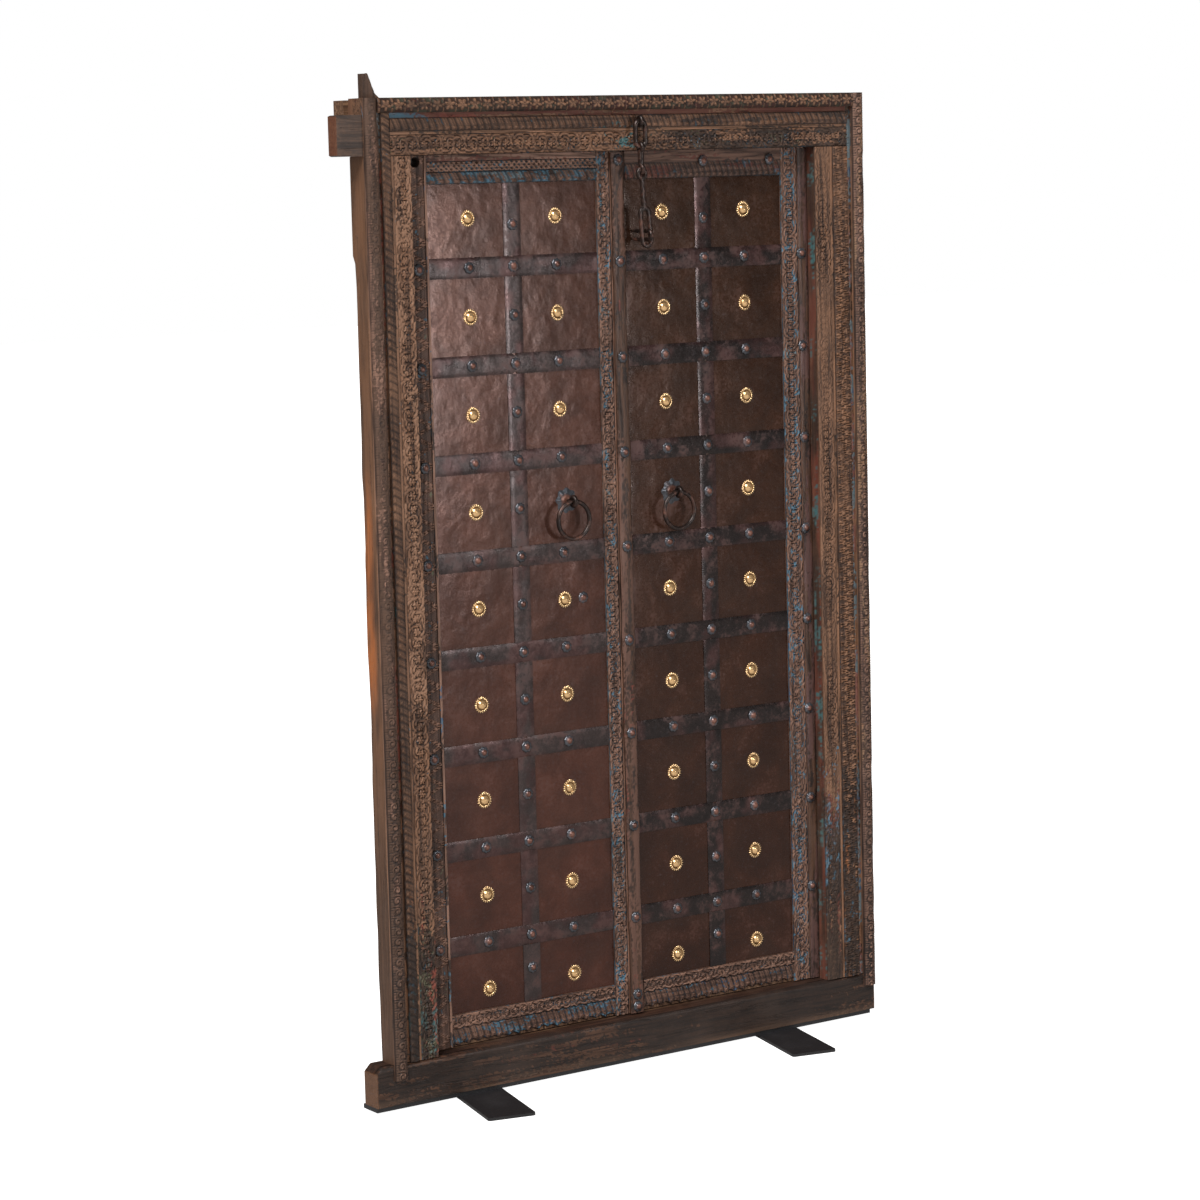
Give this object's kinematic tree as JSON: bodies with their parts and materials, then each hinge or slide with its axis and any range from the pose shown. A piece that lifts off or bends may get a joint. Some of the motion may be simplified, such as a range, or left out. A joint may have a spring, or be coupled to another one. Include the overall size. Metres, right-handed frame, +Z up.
{
  "type": "carved double-leaf door with frame",
  "caption": "Carved timber frame on a flat iron stand, with two iron-clad leaves on wooden pintles, ring pulls and a hanging chain hasp.",
  "frame": {"origin": "on the floor, under the middle of the overall width (left horn included) and the middle of the sill's depth", "axes": "+X across the door to the viewer's right, +Y from the carved front to the back, +Z up"},
  "size_m": [1.281, 0.4294, 2.051],
  "materials": {
    "black_iron": "matt black",
    "carved_timber": "old dark carving with blue paint remains",
    "frame_timber": "old dark timber, worn to bare wood at edges",
    "worn_timber": "smooth worn timber",
    "plain_timber": "plain sawn timber",
    "iron_sheet": "brown patina, satin",
    "iron_strap": "dark patina, satin",
    "forged_iron": "rusted, forged",
    "brass": "bright, slightly dulled in the hollows"
  },
  "bodies": {
    "frame": {"base_strip": "black_iron", "base_screws": "black_iron", "left_foot": "black_iron", "right_foot": "black_iron", "sill": "worn_timber", "pivot_sill": "plain_timber", "left_jamb": "frame_timber", "right_jamb": "frame_timber", "head_beam": "frame_timber", "pivot_beam": "plain_timber", "left_moulding": "carved_timber", "right_moulding": "carved_timber", "head_moulding": "carved_timber", "frame_pegs": "plain_timber", "chain_staple": "forged_iron"},
    "left_leaf": {"left_hinge_stile": "carved_timber", "left_planks": "plain_timber", "left_meeting_stile": "carved_timber", "left_cover_strip": "worn_timber", "left_top_rail": "carved_timber", "left_foot_rail": "carved_timber", "left_sheets": "iron_sheet", "left_upright_straps": "iron_strap", "left_cross_straps": "iron_strap", "left_strap_studs": "forged_iron", "left_edge_studs": "forged_iron", "left_florets": "brass", "left_ledges": "plain_timber", "left_ring_plate": "forged_iron", "left_ring_eye": "forged_iron"},
    "left_pull": {"left_ring": "forged_iron"},
    "right_leaf": {"right_hinge_stile": "carved_timber", "right_planks": "plain_timber", "right_edge_strip": "worn_timber", "right_top_rail": "carved_timber", "right_foot_rail": "carved_timber", "right_sheets": "iron_sheet", "right_upright_straps": "iron_strap", "right_cross_straps": "iron_strap", "right_strap_studs": "forged_iron", "right_edge_studs": "forged_iron", "right_florets": "brass", "right_ledges": "plain_timber", "right_ring_plate": "forged_iron", "right_ring_eye": "forged_iron", "hasp_staple": "forged_iron"},
    "right_pull": {"right_ring": "forged_iron"},
    "loop": {"chain_loop": "forged_iron"},
    "twist": {"chain_twist": "forged_iron"},
    "hasp": {"chain_hasp": "forged_iron"}
  },
  "joints": [
    {"name": "left_leaf_swing", "type": "hinge", "parent": "frame", "child": "left_leaf", "pos_m": [-0.4695, 0.031, 1], "axis": [0, 0, 1], "range_deg": [0, 100]},
    {"name": "right_leaf_swing", "type": "hinge", "parent": "frame", "child": "right_leaf", "pos_m": [0.5075, 0.031, 1], "axis": [0, 0, -1], "range_deg": [0, 100]},
    {"name": "left_ring_swing", "type": "hinge", "parent": "left_leaf", "child": "left_pull", "pos_m": [-0.1115, -0.0135, 1.18771], "axis": [-1, 0, 0], "range_deg": [-13, 150]},
    {"name": "right_ring_swing", "type": "hinge", "parent": "right_leaf", "child": "right_pull", "pos_m": [0.1525, -0.0135, 1.18771], "axis": [-1, 0, 0], "range_deg": [-13, 150]},
    {"name": "loop_swing", "type": "hinge", "parent": "frame", "child": "loop", "pos_m": [0.0565, -0.04, 1.95], "axis": [-1, 0, 0], "range_deg": [-2, 80]},
    {"name": "twist_swing", "type": "hinge", "parent": "loop", "child": "twist", "pos_m": [0.0565, -0.04, 1.897], "axis": [-1, 0, 0], "range_deg": [-2, 50]},
    {"name": "hasp_swing", "type": "hinge", "parent": "twist", "child": "hasp", "pos_m": [0.0565, -0.04, 1.853], "axis": [-1, 0, 0], "range_deg": [-4, 50]}
  ]
}
